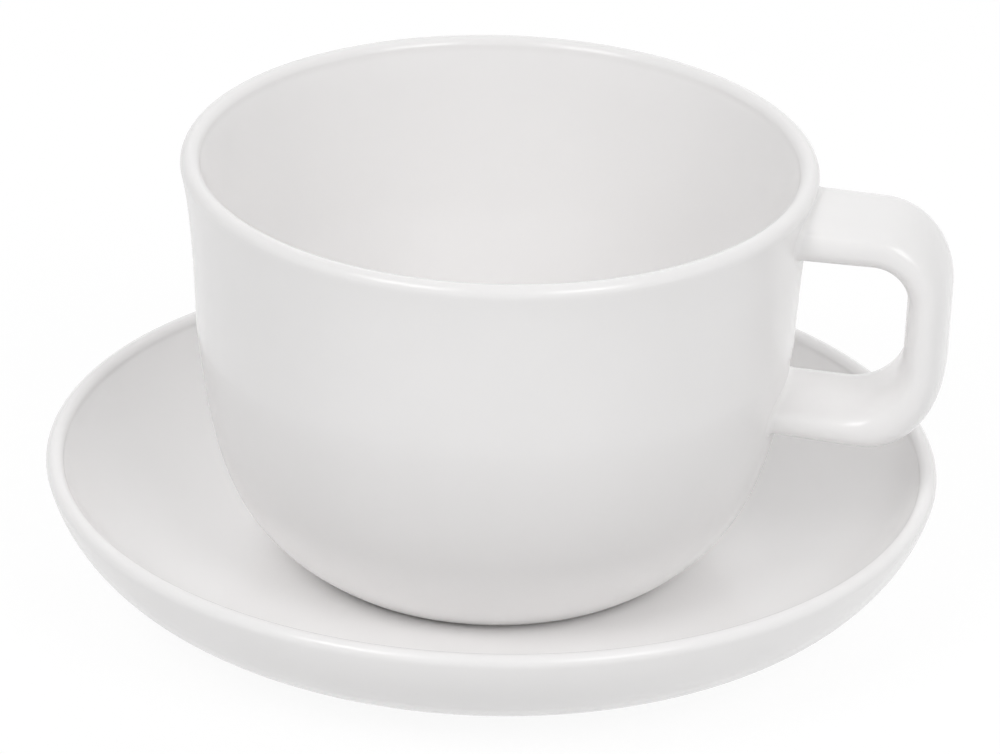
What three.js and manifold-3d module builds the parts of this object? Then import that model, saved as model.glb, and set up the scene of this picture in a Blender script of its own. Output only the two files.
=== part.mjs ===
// Espresso cup standing on its saucer, both of white glazed porcelain.
// Millimetres, +Z up. The origin is under the middle of the saucer, on the table, and the handle points along +X.
import * as THREE from "three";
import { mergeVertices } from "three/addons/utils/BufferGeometryUtils.js";
import Module from "manifold-3d";

const wasm = await Module();
wasm.setup();

// Saucer: radii are measured from its axis and heights from the table
const SAUCER_RADIUS = 49.7;
const SAUCER_HEIGHT = 15.35;
const SAUCER_LIP_THICKNESS = 1.95;
const SAUCER_FLOOR_THICKNESS = 2.6;
const SAUCER_FLAT_MARGIN = 8.25;
const SAUCER_FOOT_RADIUS = 31;
const SAUCER_FOOT_WIDTH = 2.8;
const SAUCER_FOOT_HEIGHT = 1.25;
const SAUCER_FOOT_ROUNDING = 0.5;

// Bend of the saucer's walls: how far the curve sets out along the width and height before it turns, and how far
// it comes back to its end
const SAUCER_OUTER_SHARES = { out: 0.6986, up: 0.0678, back: 0.0565, down: 0.3344 };
const SAUCER_INNER_SHARES = { out: 0.6288, up: 0, back: 0.0856, down: 0.3093 };

// Cup: radii are measured from its axis and heights from the foot that it stands on
const CUP_LIP_RADIUS = 35;
const CUP_HEIGHT = 47.45;
const CUP_LIP_THICKNESS = 2.16;
const CUP_SHOULDER_RADIUS = 33.04;
const CUP_SHOULDER_HEIGHT = 26.76;
const CUP_BASE_RADIUS = 20.75;
const CUP_WALL = 3;
const CUP_FLOOR_THICKNESS = 3;
const CUP_FLOOR_RADIUS = 12;
const CUP_FOOT_SETBACK = 1.5;
const CUP_FOOT_WIDTH = 2.6;
const CUP_FOOT_HEIGHT = 0.3;
const CUP_FOOT_RECESS = 1.3;
const CUP_FOOT_ROUNDING = 0.2;

// Bend of the cup's walls: the rounded lower part up to the shoulder, then the nearly straight part up to the lip
const CUP_LOWER_SHARES = { out: 0.65, up: 0.196, back: 0.147, down: 0.599 };
const CUP_UPPER_SHARES = { out: 0.124, up: 0.109, back: 0.774, down: 0.32 };
const CUP_INNER_SHARES = { out: 0.76, up: 0, back: 0.15, down: 0.85 };

// Handle: a broad strap bent into a square loop, which stands out beyond the lip and hangs a little below it. Its
// sizes are those of the corners that its sides would have without their bends.
const HANDLE_STANDOUT = 15.44;
const HANDLE_LIP_DROP = 2.36;
const HANDLE_HEIGHT = 27.54;
const HANDLE_WIDTH = 13.2;
const HANDLE_TOP_ARM = 5.35;
const HANDLE_BOTTOM_ARM = 5.53;
const HANDLE_TOP_GRIP = 4.78;
const HANDLE_BOTTOM_GRIP = 4.56;

// The grip leans in towards its bottom. The arms fall a little on their way out from the wall, except for the top
// of the hole, which is level.
const HANDLE_LEAN = 0.55;
const HANDLE_TOP_FALL = 0.62;
const HANDLE_BOTTOM_FALL = 1.33;
const HOLE_BOTTOM_FALL = 0.32;

// Oval bends round the corners: the length that each takes up of the arm and of the grip
const HANDLE_TOP_BEND_ON_ARM = 8.34;
const HANDLE_TOP_BEND_ON_GRIP = 9.19;
const HANDLE_BOTTOM_BEND_ON_ARM = 8.11;
const HANDLE_BOTTOM_BEND_ON_GRIP = 10.2;
const HOLE_TOP_BEND = 3.67;
const HOLE_BOTTOM_BEND = 7.17;
const HANDLE_ROOT_FILLET = 0.6;

// How far the curve of a bend sets out towards its corner, which makes it a quarter of an oval
const OVAL_SHARE = 0.5523;

// Power of the rounded section of the strap: 2 is an ellipse, and a higher power is squarer
const STRAP_POWER = 2.5;

// Clay slip sticks the strap to the wall, in a joint of this thickness
const SLIP_JOINT = 0.3;

// Smoothness of the faceted surfaces
const TURN_STEPS = 60;
const BEND_STEPS = 8;
const STRAIGHT_STEPS = 5;
const LIP_STEPS = 4;
const ROUNDING_STEPS = 2;
const STRAP_SIDES = 24;
const STRAP_BEND_STEPS = 6;
const FILLET_STEPS = 3;

const QUARTER = Math.PI / 2;
const GLAZE = { color: 0xf6f5f4, roughness: 0.2, metalness: 0 };

// Heights that more than one shape follows
const saucerFlatHeight = SAUCER_FOOT_HEIGHT + SAUCER_FLOOR_THICKNESS;
const cupLipHeight = CUP_HEIGHT - CUP_LIP_THICKNESS / 2;

// Points of an arc round a centre, between two angles
function arc(x, y, radius, from, to, steps) {
  return Array.from({ length: steps + 1 }, (_, i) => {
    const angle = from + ((to - from) * i) / steps;
    return new THREE.Vector2(x + radius * Math.cos(angle), y + radius * Math.sin(angle));
  });
}

// Points of a bent wall from its low end to its high end
function wall(low, high, shares, steps) {
  const width = high.x - low.x;
  const height = high.y - low.y;
  const setOut = new THREE.Vector2(low.x + shares.out * width, low.y + shares.up * height);
  const comeBack = new THREE.Vector2(high.x - shares.back * width, high.y - shares.down * height);
  return new THREE.CubicBezierCurve(low, setOut, comeBack, high).getPoints(steps);
}

// Points of a foot ring in section, from the top of its outer side, under it, to the top of its inner side
function footRing({ radius, width, rounding, outerTop, innerTop }) {
  return [
    new THREE.Vector2(radius, outerTop),
    ...arc(radius - rounding, rounding, rounding, 0, -QUARTER, ROUNDING_STEPS),
    ...arc(radius - width + rounding, rounding, rounding, -QUARTER, -Math.PI, ROUNDING_STEPS),
    new THREE.Vector2(radius - width, innerTop),
  ];
}

// Turns a section about the upright axis. It runs from the top of the axis round the outside to the foot of
// the axis, and points that repeat the one before are left out.
function turned(points) {
  const section = points.filter((p, i) => i === 0 || !p.equals(points[i - 1])).reverse();
  return new THREE.LatheGeometry(section, TURN_STEPS).rotateX(QUARTER);
}

function solidOf(geometry) {
  const bare = geometry.clone();
  bare.deleteAttribute("normal");
  bare.deleteAttribute("uv");
  const merged = mergeVertices(bare);
  return new wasm.Manifold(
    new wasm.Mesh({
      numProp: 3,
      vertProperties: merged.attributes.position.array,
      triVerts: new Uint32Array(merged.index.array),
    }),
  );
}

function geometryOf(solid) {
  const mesh = solid.getMesh();
  const geometry = new THREE.BufferGeometry();
  geometry.setAttribute("position", new THREE.BufferAttribute(mesh.vertProperties, 3));
  geometry.setIndex(new THREE.BufferAttribute(mesh.triVerts, 1));
  geometry.computeVertexNormals();
  return geometry;
}

// Section of the saucer: the flat that the cup stands on, the inner wall, the rounded lip, the outer wall, the foot
function saucerSection() {
  const lip = SAUCER_LIP_THICKNESS / 2;
  const lipHeight = SAUCER_HEIGHT - lip;
  const flat = new THREE.Vector2(CUP_BASE_RADIUS + SAUCER_FLAT_MARGIN, saucerFlatHeight);
  const lipInside = new THREE.Vector2(SAUCER_RADIUS - SAUCER_LIP_THICKNESS, lipHeight);
  const lipOutside = new THREE.Vector2(SAUCER_RADIUS, lipHeight);
  const footTop = new THREE.Vector2(SAUCER_FOOT_RADIUS, SAUCER_FOOT_HEIGHT);
  return [
    new THREE.Vector2(0, saucerFlatHeight),
    ...wall(flat, lipInside, SAUCER_INNER_SHARES, BEND_STEPS),
    ...arc(SAUCER_RADIUS - lip, lipHeight, lip, Math.PI, 0, LIP_STEPS),
    ...wall(footTop, lipOutside, SAUCER_OUTER_SHARES, BEND_STEPS).reverse(),
    ...footRing({
      radius: SAUCER_FOOT_RADIUS,
      width: SAUCER_FOOT_WIDTH,
      rounding: SAUCER_FOOT_ROUNDING,
      outerTop: SAUCER_FOOT_HEIGHT,
      innerTop: SAUCER_FOOT_HEIGHT,
    }),
    new THREE.Vector2(0, SAUCER_FOOT_HEIGHT),
  ];
}

// One side of the cup's wall, from its low end by the shoulder to the lip
function cupWall(low, lowerShares, shoulderRadius, lipRadius) {
  const shoulder = new THREE.Vector2(shoulderRadius, CUP_SHOULDER_HEIGHT);
  const lip = new THREE.Vector2(lipRadius, cupLipHeight);
  return [
    ...wall(low, shoulder, lowerShares, BEND_STEPS),
    ...wall(shoulder, lip, CUP_UPPER_SHARES, STRAIGHT_STEPS).slice(1),
  ];
}

// Outside of the cup from the edge of its base to its lip, moved outwards by a margin
function cupOutside(margin = 0) {
  const base = new THREE.Vector2(CUP_BASE_RADIUS + margin, CUP_FOOT_HEIGHT);
  return cupWall(base, CUP_LOWER_SHARES, CUP_SHOULDER_RADIUS + margin, CUP_LIP_RADIUS + margin);
}

// Inside of the cup from the edge of its flat floor to its lip
function cupInside() {
  const floor = new THREE.Vector2(CUP_FLOOR_RADIUS, CUP_FOOT_RECESS + CUP_FLOOR_THICKNESS);
  return cupWall(floor, CUP_INNER_SHARES, CUP_SHOULDER_RADIUS - CUP_WALL, CUP_LIP_RADIUS - CUP_LIP_THICKNESS);
}

// Section of the cup: its floor and inside, the rounded lip, its outside, the low foot ring and the recess in it
function cupSection() {
  const lip = CUP_LIP_THICKNESS / 2;
  return [
    new THREE.Vector2(0, CUP_FOOT_RECESS + CUP_FLOOR_THICKNESS),
    ...cupInside(),
    ...arc(CUP_LIP_RADIUS - lip, cupLipHeight, lip, Math.PI, 0, LIP_STEPS),
    ...cupOutside().reverse(),
    ...footRing({
      radius: CUP_BASE_RADIUS - CUP_FOOT_SETBACK,
      width: CUP_FOOT_WIDTH,
      rounding: CUP_FOOT_ROUNDING,
      outerTop: CUP_FOOT_HEIGHT,
      innerTop: CUP_FOOT_RECESS,
    }),
    new THREE.Vector2(0, CUP_FOOT_RECESS),
  ];
}

// The cup's outer radius at a height, read off its outside
function cupRadiusAt(height) {
  const points = cupOutside();
  const next = points.findIndex((p) => p.y > height);
  if (next < 1) return next < 0 ? CUP_LIP_RADIUS : CUP_BASE_RADIUS;
  const low = points[next - 1];
  const high = points[next];
  return low.x + ((high.x - low.x) * (height - low.y)) / (high.y - low.y);
}

// Points of an oval bend round a corner, which takes up a length of the side before it and of the side after it
function bend({ before, corner, after, lengthBefore, lengthAfter }) {
  const start = before.clone().sub(corner).setLength(lengthBefore).add(corner);
  const end = after.clone().sub(corner).setLength(lengthAfter).add(corner);
  const setOut = start.clone().lerp(corner, OVAL_SHARE);
  const comeBack = end.clone().lerp(corner, OVAL_SHARE);
  return new THREE.CubicBezierCurve(start, setOut, comeBack, end).getPoints(STRAP_BEND_STEPS);
}

// Line round the loop through two corners, from the wall at the top to the wall at the bottom
function loopLine({ top, topFall, topBend, bottom, bottomFall, bottomBend }) {
  const topRoot = new THREE.Vector2(CUP_SHOULDER_RADIUS, top.y + topFall);
  const bottomRoot = new THREE.Vector2(CUP_SHOULDER_RADIUS, bottom.y + bottomFall);
  return [
    topRoot,
    ...bend({
      before: topRoot,
      corner: top,
      after: bottom,
      lengthBefore: topBend.onArm,
      lengthAfter: topBend.onGrip,
    }),
    ...bend({
      before: top,
      corner: bottom,
      after: bottomRoot,
      lengthBefore: bottomBend.onGrip,
      lengthAfter: bottomBend.onArm,
    }),
    bottomRoot,
  ];
}

// Outer and inner edge of the strap at each station round the loop, from the top root to the bottom root
function strapStations() {
  const top = new THREE.Vector2(CUP_LIP_RADIUS + HANDLE_STANDOUT, CUP_HEIGHT - HANDLE_LIP_DROP);
  const bottom = new THREE.Vector2(top.x - HANDLE_LEAN, top.y - HANDLE_HEIGHT);
  const outer = loopLine({
    top,
    topFall: HANDLE_TOP_FALL,
    topBend: { onArm: HANDLE_TOP_BEND_ON_ARM, onGrip: HANDLE_TOP_BEND_ON_GRIP },
    bottom,
    bottomFall: HANDLE_BOTTOM_FALL,
    bottomBend: { onArm: HANDLE_BOTTOM_BEND_ON_ARM, onGrip: HANDLE_BOTTOM_BEND_ON_GRIP },
  });
  const inner = loopLine({
    top: new THREE.Vector2(top.x - HANDLE_TOP_GRIP, top.y - HANDLE_TOP_ARM),
    topFall: 0,
    topBend: { onArm: HOLE_TOP_BEND, onGrip: HOLE_TOP_BEND },
    bottom: new THREE.Vector2(bottom.x - HANDLE_BOTTOM_GRIP, bottom.y + HANDLE_BOTTOM_ARM),
    bottomFall: HOLE_BOTTOM_FALL,
    bottomBend: { onArm: HOLE_BOTTOM_BEND, onGrip: HOLE_BOTTOM_BEND },
  });
  return outer.map((edge, i) => ({ outer: edge, inner: inner[i] }));
}

// The sides of the strap's rounded section: where each lies across the strap and through its thickness, from -1
// to 1, and which way it faces
function strapSides(halfThickness) {
  const rounded = (value) => Math.sign(value) * Math.abs(value) ** (2 / STRAP_POWER);
  const steepness = (value) => Math.sign(value) * Math.abs(value) ** (STRAP_POWER - 1);
  return Array.from({ length: STRAP_SIDES }, (_, i) => {
    const angle = (2 * Math.PI * i) / STRAP_SIDES;
    const across = rounded(Math.sin(angle));
    const through = rounded(Math.cos(angle));
    const faces = new THREE.Vector2(
      steepness(across) / (HANDLE_WIDTH / 2),
      steepness(through) / halfThickness,
    ).normalize();
    return { across, through, faces };
  });
}

// Ring of the strap at a station
function ring({ outer, inner }) {
  const middle = outer.clone().add(inner).divideScalar(2);
  const half = outer.clone().sub(inner).divideScalar(2);
  return strapSides(half.length()).map(({ across, through }) => {
    const y = (across * HANDLE_WIDTH) / 2;
    return new THREE.Vector3(middle.x + through * half.x, y, middle.y + through * half.y);
  });
}

// Ring of an arm at a distance from the cup's wall, between its root and the station where its bends start. The
// fillet that runs out onto the wall spreads it.
function rootRing(root, bendStart, distance) {
  const heightOf = (edge) => {
    const along = distance / (bendStart[edge].x - root[edge].x);
    return root[edge].y + (bendStart[edge].y - root[edge].y) * along;
  };
  const middle = (heightOf("outer") + heightOf("inner")) / 2;
  const half = (heightOf("outer") - heightOf("inner")) / 2;
  const near = HANDLE_ROOT_FILLET - Math.max(distance, 0);
  const spread = HANDLE_ROOT_FILLET - Math.sqrt(HANDLE_ROOT_FILLET ** 2 - near ** 2);
  return strapSides(Math.abs(half)).map(({ across, through, faces }) => {
    const y = (across * HANDLE_WIDTH) / 2 + spread * faces.x;
    const z = middle + through * half + spread * faces.y * Math.sign(half);
    return new THREE.Vector3(Math.sqrt(cupRadiusAt(z) ** 2 - y ** 2) + distance, y, z);
  });
}

// Rings of one root, from inside the cup's wall to where the fillet leaves the arm
function rootRings(root, bendStart) {
  const fillet = Array.from({ length: FILLET_STEPS + 1 }, (_, i) => {
    return HANDLE_ROOT_FILLET * (1 - Math.cos((QUARTER * i) / FILLET_STEPS));
  });
  return [-CUP_WALL / 2, ...fillet].map((distance) => rootRing(root, bendStart, distance));
}

// Skin over a row of rings, closed at both ends
function skinned(rings) {
  const sides = rings[0].length;
  const index = [];
  for (let r = 0; r + 1 < rings.length; r++) {
    for (let i = 0; i < sides; i++) {
      const a = r * sides + i;
      const b = r * sides + ((i + 1) % sides);
      index.push(a, a + sides, b);
      index.push(b, a + sides, b + sides);
    }
  }
  const last = (rings.length - 1) * sides;
  for (let i = 1; i + 1 < sides; i++) {
    index.push(0, i, i + 1);
    index.push(last, last + i + 1, last + i);
  }
  const geometry = new THREE.BufferGeometry().setFromPoints(rings.flat());
  geometry.setIndex(index);
  return geometry;
}

// The strap, from inside the cup's wall at the top round to inside the wall at the bottom
function strap() {
  const stations = strapStations();
  const topRings = rootRings(stations[0], stations[1]);
  const bottomRings = rootRings(stations.at(-1), stations.at(-2)).reverse();
  return skinned([...topRings, ...stations.slice(1, -1).map(ring), ...bottomRings]);
}

// The space that the cup's body and the slip joint round it take up, which the strap stops at
function bodyAndJoint() {
  return turned([
    new THREE.Vector2(0, CUP_HEIGHT),
    new THREE.Vector2(CUP_LIP_RADIUS + SLIP_JOINT, CUP_HEIGHT),
    ...cupOutside(SLIP_JOINT).reverse(),
    new THREE.Vector2(0, CUP_FOOT_HEIGHT),
  ]);
}

function handle() {
  return geometryOf(solidOf(strap()).subtract(solidOf(bodyAndJoint())));
}

function piece(name, geometry) {
  const mesh = new THREE.Mesh(geometry, new THREE.MeshStandardMaterial(GLAZE));
  mesh.name = name;
  return mesh;
}

// The cup stands on the saucer's flat, and its handle moves with it
const cup = new THREE.Group();
cup.add(piece("cup_body", turned(cupSection())));
cup.add(piece("cup_handle", handle()));
cup.position.z = saucerFlatHeight;

const group = new THREE.Group();
group.add(piece("saucer", turned(saucerSection())), cup);

export default group;
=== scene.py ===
"""Espresso cup on its saucer, in white glazed porcelain, under soft studio light."""

import math

import bpy
import numpy as np
from mathutils import Matrix, Vector


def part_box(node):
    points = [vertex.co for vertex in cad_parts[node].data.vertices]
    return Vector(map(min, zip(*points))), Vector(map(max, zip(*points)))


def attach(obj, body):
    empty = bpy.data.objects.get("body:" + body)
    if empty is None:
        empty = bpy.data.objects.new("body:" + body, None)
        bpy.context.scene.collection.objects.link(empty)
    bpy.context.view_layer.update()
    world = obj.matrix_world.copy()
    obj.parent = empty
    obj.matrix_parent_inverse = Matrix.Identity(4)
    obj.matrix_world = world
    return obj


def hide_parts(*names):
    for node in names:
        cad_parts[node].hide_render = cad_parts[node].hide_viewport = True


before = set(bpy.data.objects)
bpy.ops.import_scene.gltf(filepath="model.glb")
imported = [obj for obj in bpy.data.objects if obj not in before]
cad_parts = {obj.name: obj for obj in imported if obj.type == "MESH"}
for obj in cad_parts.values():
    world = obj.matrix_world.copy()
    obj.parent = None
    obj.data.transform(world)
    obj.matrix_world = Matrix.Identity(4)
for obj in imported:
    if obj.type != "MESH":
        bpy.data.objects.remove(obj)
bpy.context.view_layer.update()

MM = 0.001
SAME_PLACE = 0.002 * MM
QUARTER = math.pi / 2

# The frame gives the outer sizes of the saucer and of the cup's body
SAUCER_LOW, SAUCER_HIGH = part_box("saucer")
BODY_LOW, BODY_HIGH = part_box("cup_body")

# Saucer
SAUCER_RADIUS = SAUCER_HIGH.x
SAUCER_TOP = SAUCER_HIGH.z
SAUCER_LIP_THICKNESS = 1.95 * MM
SAUCER_FLAT_RADIUS = 29 * MM
SAUCER_FLAT_HEIGHT = BODY_LOW.z
SAUCER_FOOT_RADIUS = 31 * MM
SAUCER_FOOT_WIDTH = 2.8 * MM
SAUCER_FOOT_HEIGHT = 1.25 * MM
SAUCER_FOOT_ROUNDING = 0.5 * MM
SAUCER_FOOT_FILLET = 0.6 * MM
SAUCER_OUTER_SHARES = (0.6986, 0.0678, 0.0565, 0.3344)
SAUCER_INNER_SHARES = (0.6288, 0, 0.0856, 0.3093)

# Cup, with its heights measured from the foot that it stands on
CUP_FOOT = BODY_LOW.z
CUP_LIP_RADIUS = BODY_HIGH.x
CUP_TOP = BODY_HIGH.z
CUP_LIP_THICKNESS = 2.16 * MM
CUP_SHOULDER_RADIUS = 33.04 * MM
CUP_SHOULDER_HEIGHT = CUP_FOOT + 26.76 * MM
CUP_BASE_RADIUS = 20.75 * MM
CUP_BASE_ROUNDING = 0.3 * MM
CUP_WALL = 3 * MM
CUP_FLOOR_HEIGHT = CUP_FOOT + 4.3 * MM
CUP_FLOOR_RADIUS = 12 * MM
CUP_FOOT_SETBACK = 1.5 * MM
CUP_FOOT_WIDTH = 2.6 * MM
CUP_FOOT_HEIGHT = 0.3 * MM
CUP_FOOT_RECESS = 1.3 * MM
CUP_FOOT_ROUNDING = 0.2 * MM
CUP_RECESS_FILLET = 0.8 * MM
CUP_LOWER_SHARES = (0.65, 0.196, 0.147, 0.599)
CUP_UPPER_SHARES = (0.124, 0.109, 0.774, 0.32)
CUP_INNER_SHARES = (0.76, 0, 0.15, 0.85)

# Handle, with the sizes of the corners that its sides would have without their bends
HANDLE_STANDOUT = 15.44 * MM
HANDLE_LIP_DROP = 2.36 * MM
HANDLE_HEIGHT = 27.54 * MM
HANDLE_WIDTH = 13.2 * MM
HANDLE_TOP_ARM = 5.35 * MM
HANDLE_BOTTOM_ARM = 5.53 * MM
HANDLE_TOP_GRIP = 4.78 * MM
HANDLE_BOTTOM_GRIP = 4.56 * MM
HANDLE_LEAN = 0.55 * MM
HANDLE_TOP_FALL = 0.62 * MM
HANDLE_BOTTOM_FALL = 1.33 * MM
HOLE_BOTTOM_FALL = 0.32 * MM

# Length that each bend takes up of the side before it and of the side after it
HANDLE_TOP_BEND = (8.34 * MM, 9.19 * MM)
HANDLE_BOTTOM_BEND = (10.2 * MM, 8.11 * MM)
HOLE_TOP_BEND = (3.67 * MM, 3.67 * MM)
HOLE_BOTTOM_BEND = (7.17 * MM, 7.17 * MM)
OVAL_SHARE = 0.5523
HANDLE_ROOT_FILLET = 0.6 * MM
HANDLE_ROOT_SKIRT = 0.15 * MM
HANDLE_ROOT_SINK = 0.02 * MM
STRAP_POWER = 2.5

# Smoothness of the meshes
TURN_STEPS = 192
WALL_STEPS = 40
LIP_STEPS = 16
ROUNDING_STEPS = 6
STRAP_SIDES = 72
STRAP_BEND_STEPS = 20
STRAP_ARM_STEPS = 6
FILLET_STEPS = 10

GLAZE = 0
BARE = 1


# Sections of turned pieces: rows of (radius, height), run from the top of the axis round the outside


def arc(x, y, radius, start, end, steps):
    return [
        (x + radius * math.cos(a), y + radius * math.sin(a))
        for a in np.linspace(start, end, steps + 1)
    ]


def cubic(start, set_out, come_back, end, steps):
    t = np.linspace(0, 1, steps + 1)[:, None]
    s = 1 - t
    return s**3 * start + 3 * s**2 * t * set_out + 3 * s * t**2 * come_back + t**3 * end


def wall(low, high, shares):
    """A bent wall from its low end to its high end."""
    out, up, back, down = shares
    low, high = np.array(low), np.array(high)
    across = high - low
    set_out = low + across * (out, up)
    come_back = high - across * (back, down)
    return [tuple(p) for p in cubic(low, set_out, come_back, high, WALL_STEPS)]


def rounded_corner(before, corner, after, size):
    """Replaces a corner by a short bend that starts and ends at a distance from it."""
    before, corner, after = (np.array(p) for p in (before, corner, after))
    start = corner + (before - corner) * min(1, size / np.linalg.norm(before - corner))
    end = corner + (after - corner) * min(1, size / np.linalg.norm(after - corner))
    t = np.linspace(0, 1, ROUNDING_STEPS + 1)[:, None]
    points = (1 - t) ** 2 * start + 2 * (1 - t) * t * corner + t**2 * end
    return [tuple(p) for p in points]


def foot_ring(radius, width, rounding, low):
    """The underside of a foot ring, from its outer side to its inner side."""
    centre = low + rounding
    inside = radius - width
    outer = arc(radius - rounding, centre, rounding, 0, -QUARTER, ROUNDING_STEPS)
    inner = arc(inside + rounding, centre, rounding, -QUARTER, -math.pi, ROUNDING_STEPS)
    return outer, inner


def saucer_section():
    lip = SAUCER_LIP_THICKNESS / 2
    lip_height = SAUCER_TOP - lip
    flat = (SAUCER_FLAT_RADIUS, SAUCER_FLAT_HEIGHT)
    lip_inside = (SAUCER_RADIUS - SAUCER_LIP_THICKNESS, lip_height)
    foot_top = (SAUCER_FOOT_RADIUS, SAUCER_FOOT_HEIGHT)
    foot_inside = (SAUCER_FOOT_RADIUS - SAUCER_FOOT_WIDTH, SAUCER_FOOT_HEIGHT)
    outer, inner = foot_ring(SAUCER_FOOT_RADIUS, SAUCER_FOOT_WIDTH, SAUCER_FOOT_ROUNDING, 0)
    outside = wall(foot_top, (SAUCER_RADIUS, lip_height), SAUCER_OUTER_SHARES)[::-1]
    middle = (0, SAUCER_FOOT_HEIGHT)
    glazed = [
        (0, SAUCER_FLAT_HEIGHT),
        (CUP_BASE_RADIUS / 2, SAUCER_FLAT_HEIGHT),
        (CUP_BASE_RADIUS, SAUCER_FLAT_HEIGHT),
        *wall(flat, lip_inside, SAUCER_INNER_SHARES),
        *arc(SAUCER_RADIUS - lip, lip_height, lip, math.pi, 0, LIP_STEPS),
        *outside[:-1],
        *rounded_corner(outside[-2], foot_top, outer[0], SAUCER_FOOT_FILLET),
    ]
    under = [
        *rounded_corner(inner[-1], foot_inside, middle, SAUCER_FOOT_FILLET),
        (foot_inside[0] / 2, SAUCER_FOOT_HEIGHT),
        middle,
    ]
    return glazed, [*outer, *inner], under


def cup_wall(low, lower_shares, shoulder_radius, lip_radius):
    """One side of the cup's wall, from its low end over the shoulder to the lip."""
    shoulder = (shoulder_radius, CUP_SHOULDER_HEIGHT)
    lip = (lip_radius, CUP_TOP - CUP_LIP_THICKNESS / 2)
    return [*wall(low, shoulder, lower_shares), *wall(shoulder, lip, CUP_UPPER_SHARES)]


def cup_outside():
    base = (CUP_BASE_RADIUS, CUP_FOOT + CUP_FOOT_HEIGHT)
    return cup_wall(base, CUP_LOWER_SHARES, CUP_SHOULDER_RADIUS, CUP_LIP_RADIUS)


def cup_section():
    lip = CUP_LIP_THICKNESS / 2
    foot_radius = CUP_BASE_RADIUS - CUP_FOOT_SETBACK
    foot_inside = (foot_radius - CUP_FOOT_WIDTH, CUP_FOOT + CUP_FOOT_RECESS)
    outer, inner = foot_ring(foot_radius, CUP_FOOT_WIDTH, CUP_FOOT_ROUNDING, CUP_FOOT)
    floor_edge = (CUP_FLOOR_RADIUS, CUP_FLOOR_HEIGHT)
    inner_shoulder = CUP_SHOULDER_RADIUS - CUP_WALL
    inner_lip = CUP_LIP_RADIUS - CUP_LIP_THICKNESS
    outside = cup_outside()[::-1]
    base = outside[-1]
    foot_top = (foot_radius, base[1])
    middle = (0, CUP_FOOT + CUP_FOOT_RECESS)
    glazed = [
        (0, CUP_FLOOR_HEIGHT),
        (CUP_FLOOR_RADIUS / 2, CUP_FLOOR_HEIGHT),
        *cup_wall(floor_edge, CUP_INNER_SHARES, inner_shoulder, inner_lip),
        *arc(CUP_LIP_RADIUS - lip, CUP_TOP - lip, lip, math.pi, 0, LIP_STEPS),
        *outside[:-1],
        *rounded_corner(outside[-2], base, foot_top, CUP_BASE_ROUNDING),
        foot_top,
    ]
    under = [
        *rounded_corner(inner[-1], foot_inside, middle, CUP_RECESS_FILLET),
        (foot_inside[0] / 2, middle[1]),
        middle,
    ]
    return glazed, [*outer, *inner], under


def turned(name, body, node, slot, section, finishes):
    """Turns a section about the Z axis. It is glazed, bare and glazed, and its ends are on the axis."""
    rows, marks = [], []
    for row, finish in zip(section, (GLAZE, BARE, GLAZE)):
        for point in row:
            if rows and math.dist(point, rows[-1]) < SAME_PLACE:
                continue
            rows.append(point)
            marks.append(finish)
    angles = [2 * math.pi * i / TURN_STEPS for i in range(TURN_STEPS)]
    vertices = [(0, 0, rows[0][1])]
    for radius, height in rows[1:-1]:
        vertices += [(radius * math.cos(a), radius * math.sin(a), height) for a in angles]
    vertices.append((0, 0, rows[-1][1]))
    faces, finish_of = [], []
    last = len(vertices) - 1
    for i in range(TURN_STEPS):
        j = (i + 1) % TURN_STEPS
        faces.append((0, 1 + i, 1 + j))
        finish_of.append(marks[0])
        for r in range(len(rows) - 3):
            a, b = 1 + r * TURN_STEPS, 1 + (r + 1) * TURN_STEPS
            faces.append((a + i, b + i, b + j, a + j))
            finish_of.append(BARE if marks[r + 1] == marks[r + 2] == BARE else GLAZE)
        a = 1 + (len(rows) - 3) * TURN_STEPS
        faces.append((a + i, last, a + j))
        finish_of.append(GLAZE)
    piece(name, body, node, slot, vertices, faces, finishes, finish_of)


# The handle: a strap with a rounded section, which runs out onto the cup's wall in a fillet


def cup_radius_at(height):
    points = cup_outside()
    return float(np.interp(height, [p[1] for p in points], [p[0] for p in points]))


def bend(before, corner, after, lengths):
    """An oval bend round a corner, which takes up a length of the side before it and after it."""
    start, end = (
        corner + (side - corner) * length / np.linalg.norm(side - corner)
        for side, length in zip((before, after), lengths)
    )
    set_out = start + (corner - start) * OVAL_SHARE
    come_back = end + (corner - end) * OVAL_SHARE
    return list(cubic(start, set_out, come_back, end, STRAP_BEND_STEPS))


def loop_line(top, top_fall, top_bend, bottom, bottom_fall, bottom_bend):
    """A line round the loop through two corners, from the wall at the top to the wall below."""
    top_root = np.array((CUP_SHOULDER_RADIUS, top[1] + top_fall))
    bottom_root = np.array((CUP_SHOULDER_RADIUS, bottom[1] + bottom_fall))
    first = bend(top_root, top, bottom, top_bend)
    second = bend(top, bottom, bottom_root, bottom_bend)
    return [top_root, *first, *second, bottom_root]


def strap_stations():
    """The strap's outer and inner edge at each station round the loop, from the top root down."""
    top = np.array((CUP_LIP_RADIUS + HANDLE_STANDOUT, CUP_TOP - HANDLE_LIP_DROP))
    bottom = top - (HANDLE_LEAN, HANDLE_HEIGHT)
    hole_top = top - (HANDLE_TOP_GRIP, HANDLE_TOP_ARM)
    hole_bottom = bottom + (-HANDLE_BOTTOM_GRIP, HANDLE_BOTTOM_ARM)
    outer = loop_line(
        top, HANDLE_TOP_FALL, HANDLE_TOP_BEND, bottom, HANDLE_BOTTOM_FALL, HANDLE_BOTTOM_BEND
    )
    inner = loop_line(hole_top, 0, HOLE_TOP_BEND, hole_bottom, HOLE_BOTTOM_FALL, HOLE_BOTTOM_BEND)
    return list(zip(outer, inner))


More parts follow.
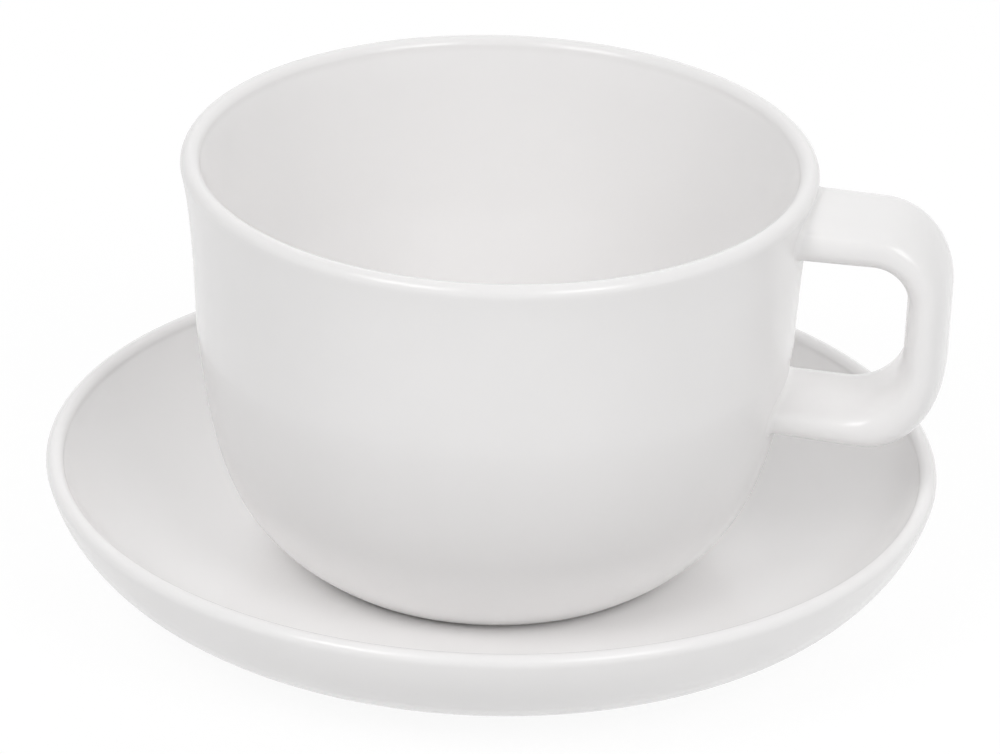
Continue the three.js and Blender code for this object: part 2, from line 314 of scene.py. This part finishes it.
def strap_sides(half_thickness):
    """For each side of the section: its place across and through the strap, and the way it faces."""
    sides = []
    for i in range(STRAP_SIDES):
        angle = 2 * math.pi * i / STRAP_SIDES
        across, through = (
            math.copysign(abs(v) ** (2 / STRAP_POWER), v) for v in (math.sin(angle), math.cos(angle))
        )
        face = Vector(
            (
                math.copysign(abs(across) ** (STRAP_POWER - 1), across) / (HANDLE_WIDTH / 2),
                math.copysign(abs(through) ** (STRAP_POWER - 1), through) / half_thickness,
            )
        ).normalized()
        sides.append((across, through, face))
    return sides


def strap_ring(outer, inner):
    middle, half = (outer + inner) / 2, (outer - inner) / 2
    return [
        (middle[0] + through * half[0], across * HANDLE_WIDTH / 2, middle[1] + through * half[1])
        for across, through, _ in strap_sides(np.linalg.norm(half))
    ]


def root_ring(root, bend_start, distance, flare):
    """Ring of an arm at a distance from the cup's wall, flared outwards."""
    outer, inner = (
        a[1] + (b[1] - a[1]) * distance / (b[0] - a[0]) for a, b in zip(root, bend_start)
    )
    middle, half = (outer + inner) / 2, (outer - inner) / 2
    ring = []
    for across, through, face in strap_sides(abs(half)):
        y = across * HANDLE_WIDTH / 2 + flare * face.x
        z = middle + through * half + flare * face.y * math.copysign(1, half)
        ring.append((math.sqrt(cup_radius_at(z) ** 2 - y**2) + distance, y, z))
    return ring


def root_rings(root, bend_start):
    """From inside the wall, under the fillet's edge, along the fillet and out to the bend."""
    fillet = HANDLE_ROOT_FILLET
    skirt = fillet + HANDLE_ROOT_SKIRT
    steps = [(-CUP_WALL / 2, skirt), (-HANDLE_ROOT_SINK, skirt)]
    for i in range(FILLET_STEPS + 1):
        turn = QUARTER * i / FILLET_STEPS
        steps.append((fillet * (1 - math.cos(turn)), fillet * (1 - math.sin(turn))))
    rings = [root_ring(root, bend_start, distance, flare) for distance, flare in steps]
    near = np.array(rings[-1])
    far = np.array(strap_ring(*bend_start))
    for i in range(1, STRAP_ARM_STEPS):
        rings.append([tuple(p) for p in near + (far - near) * i / STRAP_ARM_STEPS])
    return rings


def handle_mesh():
    stations = strap_stations()
    rings = root_rings(stations[0], stations[1])
    rings += [strap_ring(*station) for station in stations[1:-1]]
    rings += root_rings(stations[-1], stations[-2])[::-1]
    vertices = [p for ring in rings for p in ring]
    faces = []
    for r in range(len(rings) - 1):
        for i in range(STRAP_SIDES):
            j = (i + 1) % STRAP_SIDES
            a, b = r * STRAP_SIDES, (r + 1) * STRAP_SIDES
            faces.append((a + i, b + i, b + j, a + j))
    faces.append(tuple(range(STRAP_SIDES)))
    last = (len(rings) - 1) * STRAP_SIDES
    faces.append(tuple(last + i for i in reversed(range(STRAP_SIDES))))
    return vertices, faces


def piece(name, body, node, slot, vertices, faces, finishes, finish_of=None):
    mesh = bpy.data.meshes.new(name)
    mesh.from_pydata(vertices, [], faces)
    mesh.validate()
    for finish in finishes:
        mesh.materials.append(finish)
    if finish_of:
        mesh.polygons.foreach_set("material_index", finish_of)
    mesh.polygons.foreach_set("use_smooth", [True] * len(mesh.polygons))
    mesh.update()
    thing = bpy.data.objects.new(name, mesh)
    bpy.context.scene.collection.objects.link(thing)
    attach(thing, body)
    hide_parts(node)


# Finishes. A pattern has its waves per metre, its detail and its roughness

CUP_COLOUR = (0.92, 0.91, 0.907)
# The saucer has the cup's glaze, set lighter here as painted light that lifts the shade on the saucer
# round the cup
SAUCER_COLOUR_PAINTED_LIGHTER = (0.945, 0.935, 0.932)
BARE_COLOUR = (0.70, 0.68, 0.65)

PATTERN_LOW = 0.3
PATTERN_HIGH = 0.7

GLAZE_IOR = 1.5
GLAZE_CLOUDS = (60, 3, 0.5)
GLAZE_CLOUD_SHADE = 0.985
GLAZE_GLOSS = (120, 2, 0.5)
GLAZE_ROUGHNESS = (0.19, 0.26)
GLAZE_WAVES = (90, 1, 0.5)
GLAZE_WAVE_STRENGTH = 0.25
GLAZE_WAVE_DEPTH = 0.05 * MM
GLAZE_SKIN = (900, 2, 0.5)
GLAZE_SKIN_STRENGTH = 0.1
GLAZE_SKIN_DEPTH = 0.01 * MM

BARE_GRAIN = (2500, 3, 0.7)
BARE_GRAIN_SHADE = 0.9
BARE_ROUGHNESS = (0.6, 0.8)
BARE_GRAIN_STRENGTH = 0.5
BARE_GRAIN_DEPTH = 0.03 * MM


def new_material(name):
    material = bpy.data.materials.new(name)
    material.use_nodes = True
    nodes = material.node_tree.nodes
    return material, nodes, material.node_tree.links, nodes["Principled BSDF"]


def noise(nodes, links, scale, detail, roughness):
    """A noise pattern over the piece."""
    place = nodes.get("Texture Coordinate") or nodes.new("ShaderNodeTexCoord")
    texture = nodes.new("ShaderNodeTexNoise")
    texture.inputs["Scale"].default_value = scale
    texture.inputs["Detail"].default_value = detail
    texture.inputs["Roughness"].default_value = roughness
    links.new(place.outputs["Object"], texture.inputs["Vector"])
    return texture.outputs["Fac"]


def mapped(nodes, links, pattern, low, high):
    """Maps a pattern to a range."""
    step = nodes.new("ShaderNodeMapRange")
    step.inputs["From Min"].default_value = PATTERN_LOW
    step.inputs["From Max"].default_value = PATTERN_HIGH
    step.inputs["To Min"].default_value = low
    step.inputs["To Max"].default_value = high
    links.new(pattern, step.inputs["Value"])
    return step.outputs["Result"]


def tinted(nodes, links, pattern, colour, other):
    """A colour that goes over into another one where the pattern is high."""
    mix = nodes.new("ShaderNodeMix")
    mix.data_type = "RGBA"
    mix.inputs["A"].default_value = (*colour, 1)
    mix.inputs["B"].default_value = (*other, 1)
    links.new(mapped(nodes, links, pattern, 0, 1), mix.inputs["Factor"])
    return mix.outputs["Result"]


def bumped(nodes, links, pattern, strength, depth):
    """A bump of the surface by a pattern."""
    bump = nodes.new("ShaderNodeBump")
    bump.inputs["Strength"].default_value = strength
    bump.inputs["Distance"].default_value = depth
    links.new(pattern, bump.inputs["Height"])
    return bump


def glaze(name, colour):
    """White glaze: slow waves and a fine skin in its surface, and a faint clouding under it."""
    material, nodes, links, shader = new_material(name)
    shader.inputs["IOR"].default_value = GLAZE_IOR
    clouds = noise(nodes, links, *GLAZE_CLOUDS)
    clouded = [c * GLAZE_CLOUD_SHADE for c in colour]
    links.new(tinted(nodes, links, clouds, colour, clouded), shader.inputs["Base Color"])
    gloss = noise(nodes, links, *GLAZE_GLOSS)
    links.new(mapped(nodes, links, gloss, *GLAZE_ROUGHNESS), shader.inputs["Roughness"])
    wavy = noise(nodes, links, *GLAZE_WAVES)
    waves = bumped(nodes, links, wavy, GLAZE_WAVE_STRENGTH, GLAZE_WAVE_DEPTH)
    fine = noise(nodes, links, *GLAZE_SKIN)
    skin = bumped(nodes, links, fine, GLAZE_SKIN_STRENGTH, GLAZE_SKIN_DEPTH)
    links.new(waves.outputs["Normal"], skin.inputs["Normal"])
    links.new(skin.outputs["Normal"], shader.inputs["Normal"])
    return material


def bare_porcelain(name):
    """A foot ring is wiped free of glaze, and its fired body is matt and finely grained."""
    material, nodes, links, shader = new_material(name)
    grain = noise(nodes, links, *BARE_GRAIN)
    dark = [c * BARE_GRAIN_SHADE for c in BARE_COLOUR]
    links.new(tinted(nodes, links, grain, dark, BARE_COLOUR), shader.inputs["Base Color"])
    links.new(mapped(nodes, links, grain, *BARE_ROUGHNESS), shader.inputs["Roughness"])
    bump = bumped(nodes, links, grain, BARE_GRAIN_STRENGTH, BARE_GRAIN_DEPTH)
    links.new(bump.outputs["Normal"], shader.inputs["Normal"])
    return material


CUP_FINISHES = [
    glaze("cup_white_glaze", CUP_COLOUR),
    bare_porcelain("cup_bare_foot"),
]
SAUCER_FINISHES = [
    glaze("saucer_white_glaze_painted_lighter", SAUCER_COLOUR_PAINTED_LIGHTER),
    bare_porcelain("saucer_bare_foot"),
]

turned("saucer_glazed", "saucer", "saucer", "saucer_glaze", saucer_section(), SAUCER_FINISHES)
turned("cup_body_glazed", "cup", "cup_body", "cup_glaze", cup_section(), CUP_FINISHES)
piece("cup_handle_glazed", "cup", "cup_handle", "cup_glaze", *handle_mesh(), CUP_FINISHES[:1])


# Studio: a pale floor, a pale surround and soft lamps

FLOOR_SIZE = 3.0
FLOOR_DROP = 0.02 * MM
FLOOR_COLOUR = (0.85, 0.85, 0.85)
FLOOR_ROUGHNESS = 0.9

# How bright the floor's own white is, and its share where it is seen and where it is mirrored
FLOOR_WHITE = 1.03
FLOOR_WHITE_SEEN = 0.9
FLOOR_WHITE_MIRRORED = 0.9

# Light of the surround at its front and what its back adds, and its white seen and mirrored
SURROUND = 0.48
SURROUND_BACK = 1.2
SURROUND_SEEN = 1.0
SURROUND_MIRRORED = 0.95

# Brings the band's top, a half of the height times the other half, to 1
BAND_SCALE = 4

# Each lamp's angle round the cup from its front, its height angle, its size and its power
LAMP_DISTANCE = 1.2
LAMPS = {
    "front_left_softbox": (-29, 45, 0.5, 4.0),
    "front_right_softbox": (44, 39, 0.5, 3.7),
    "top_softbox": (0, 90, 1.0, 1.3),
}


def maths(nodes, links, operation, *values):
    step = nodes.new("ShaderNodeMath")
    step.operation = operation
    for socket, value in zip(step.inputs, values):
        if isinstance(value, bpy.types.NodeSocket):
            links.new(value, socket)
        else:
            socket.default_value = value
    return step.outputs["Value"]


def by_ray(nodes, links, plain, seen, mirrored):
    """One value for light on things, one for the camera, one for reflections and views through."""
    path = nodes.new("ShaderNodeLightPath").outputs
    camera_value = maths(nodes, links, "MULTIPLY_ADD", path["Is Camera Ray"], seen - plain, plain)
    mirror = maths(nodes, links, "MAXIMUM", path["Is Glossy Ray"], path["Is Transmission Ray"])
    return maths(nodes, links, "MULTIPLY_ADD", mirror, mirrored - plain, camera_value)


def surround():
    """A white surround. It gives its light from a band half way up, and most of it from the back."""
    world = bpy.data.worlds.new("studio")
    bpy.context.scene.world = world
    world.use_nodes = True
    nodes, links = world.node_tree.nodes, world.node_tree.links
    light = nodes["Background"]
    light.inputs["Color"].default_value = (1, 1, 1, 1)
    place = nodes.new("ShaderNodeTexCoord")
    axes = nodes.new("ShaderNodeSeparateXYZ")
    links.new(place.outputs["Generated"], axes.inputs["Vector"])
    height = maths(nodes, links, "MAXIMUM", axes.outputs["Z"], 0)
    band = maths(nodes, links, "MULTIPLY", height, maths(nodes, links, "SUBTRACT", 1, height))
    back = maths(nodes, links, "MAXIMUM", axes.outputs["Y"], 0)
    level = maths(
        nodes, links, "MULTIPLY_ADD", back, BAND_SCALE * SURROUND_BACK, BAND_SCALE * SURROUND
    )
    shaped = maths(nodes, links, "MULTIPLY", band, level)
    plain = maths(nodes, links, "MULTIPLY", shaped, by_ray(nodes, links, 1, 0, 0))
    white = by_ray(nodes, links, 0, SURROUND_SEEN, SURROUND_MIRRORED)
    links.new(maths(nodes, links, "ADD", plain, white), light.inputs["Strength"])


def floor():
    """A pale floor, a hair under the foot ring, seen nearly white with a faint shadow."""
    half = FLOOR_SIZE / 2
    low = -FLOOR_DROP
    corners = [(-half, -half, low), (half, -half, low), (half, half, low), (-half, half, low)]
    mesh = bpy.data.meshes.new("floor")
    mesh.from_pydata(corners, [], [(0, 1, 2, 3)])
    material, nodes, links, shader = new_material("floor_white")
    shader.inputs["Base Color"].default_value = (*FLOOR_COLOUR, 1)
    shader.inputs["Roughness"].default_value = FLOOR_ROUGHNESS
    shader.inputs["Specular IOR Level"].default_value = 0
    white = nodes.new("ShaderNodeEmission")
    white.inputs["Strength"].default_value = FLOOR_WHITE
    mix = nodes.new("ShaderNodeMixShader")
    share = by_ray(nodes, links, 0, FLOOR_WHITE_SEEN, FLOOR_WHITE_MIRRORED)
    links.new(share, mix.inputs["Fac"])
    links.new(shader.outputs["BSDF"], mix.inputs[1])
    links.new(white.outputs["Emission"], mix.inputs[2])
    links.new(mix.outputs["Shader"], nodes["Material Output"].inputs["Surface"])
    mesh.materials.append(material)
    thing = bpy.data.objects.new("floor", mesh)
    bpy.context.scene.collection.objects.link(thing)


def lamp(name, side, height, size, power):
    light = bpy.data.lights.new(name, "AREA")
    light.shape = "SQUARE"
    light.size = size
    light.energy = power
    side, height = math.radians(side), math.radians(height)
    level = math.cos(height)
    outwards = Vector((math.sin(side) * level, -math.cos(side) * level, math.sin(height)))
    thing = bpy.data.objects.new(name, light)
    thing.location = outwards * LAMP_DISTANCE + Vector((0, 0, CUP_TOP / 2))
    thing.rotation_mode = "QUATERNION"
    thing.rotation_quaternion = outwards.to_track_quat("Z", "Y")
    bpy.context.scene.collection.objects.link(thing)


# Camera: a long lens that looks down at the cup, as in the photograph

PICTURE_WIDTH = 1000
LENS_PIXELS = 6616
SENSOR_WIDTH = 36.0
HANDLE_TURN = 0.155
CAMERA_DISTANCE = 18.949 * CUP_LIP_RADIUS
CAMERA_HEIGHT = 9.758 * CUP_LIP_RADIUS
CAMERA_PAN = 0.001
CAMERA_PITCH = 0.446
CAMERA_ROLL = 0.0288
CLIP_FACTOR = 100


def camera():
    data = bpy.data.cameras.new("camera")
    data.sensor_fit = "HORIZONTAL"
    data.sensor_width = SENSOR_WIDTH
    data.lens = LENS_PIXELS / PICTURE_WIDTH * SENSOR_WIDTH
    data.clip_start = CAMERA_DISTANCE / CLIP_FACTOR
    data.clip_end = CAMERA_DISTANCE * CLIP_FACTOR
    thing = bpy.data.objects.new("camera", data)
    bpy.context.scene.collection.objects.link(thing)
    turn = Matrix.Rotation(HANDLE_TURN, 4, "Z")
    place = Matrix.Translation((0, -CAMERA_DISTANCE, CAMERA_HEIGHT))
    pan = Matrix.Rotation(-CAMERA_PAN, 4, "Z")
    pitch = Matrix.Rotation(QUARTER - CAMERA_PITCH, 4, "X")
    roll = Matrix.Rotation(CAMERA_ROLL, 4, "Z")
    thing.matrix_world = turn @ place @ pan @ pitch @ roll
    bpy.context.scene.camera = thing


surround()
floor()
for lamp_name, lamp_values in LAMPS.items():
    lamp(lamp_name, *lamp_values)
camera()
bpy.context.scene.view_settings.view_transform = "Standard"
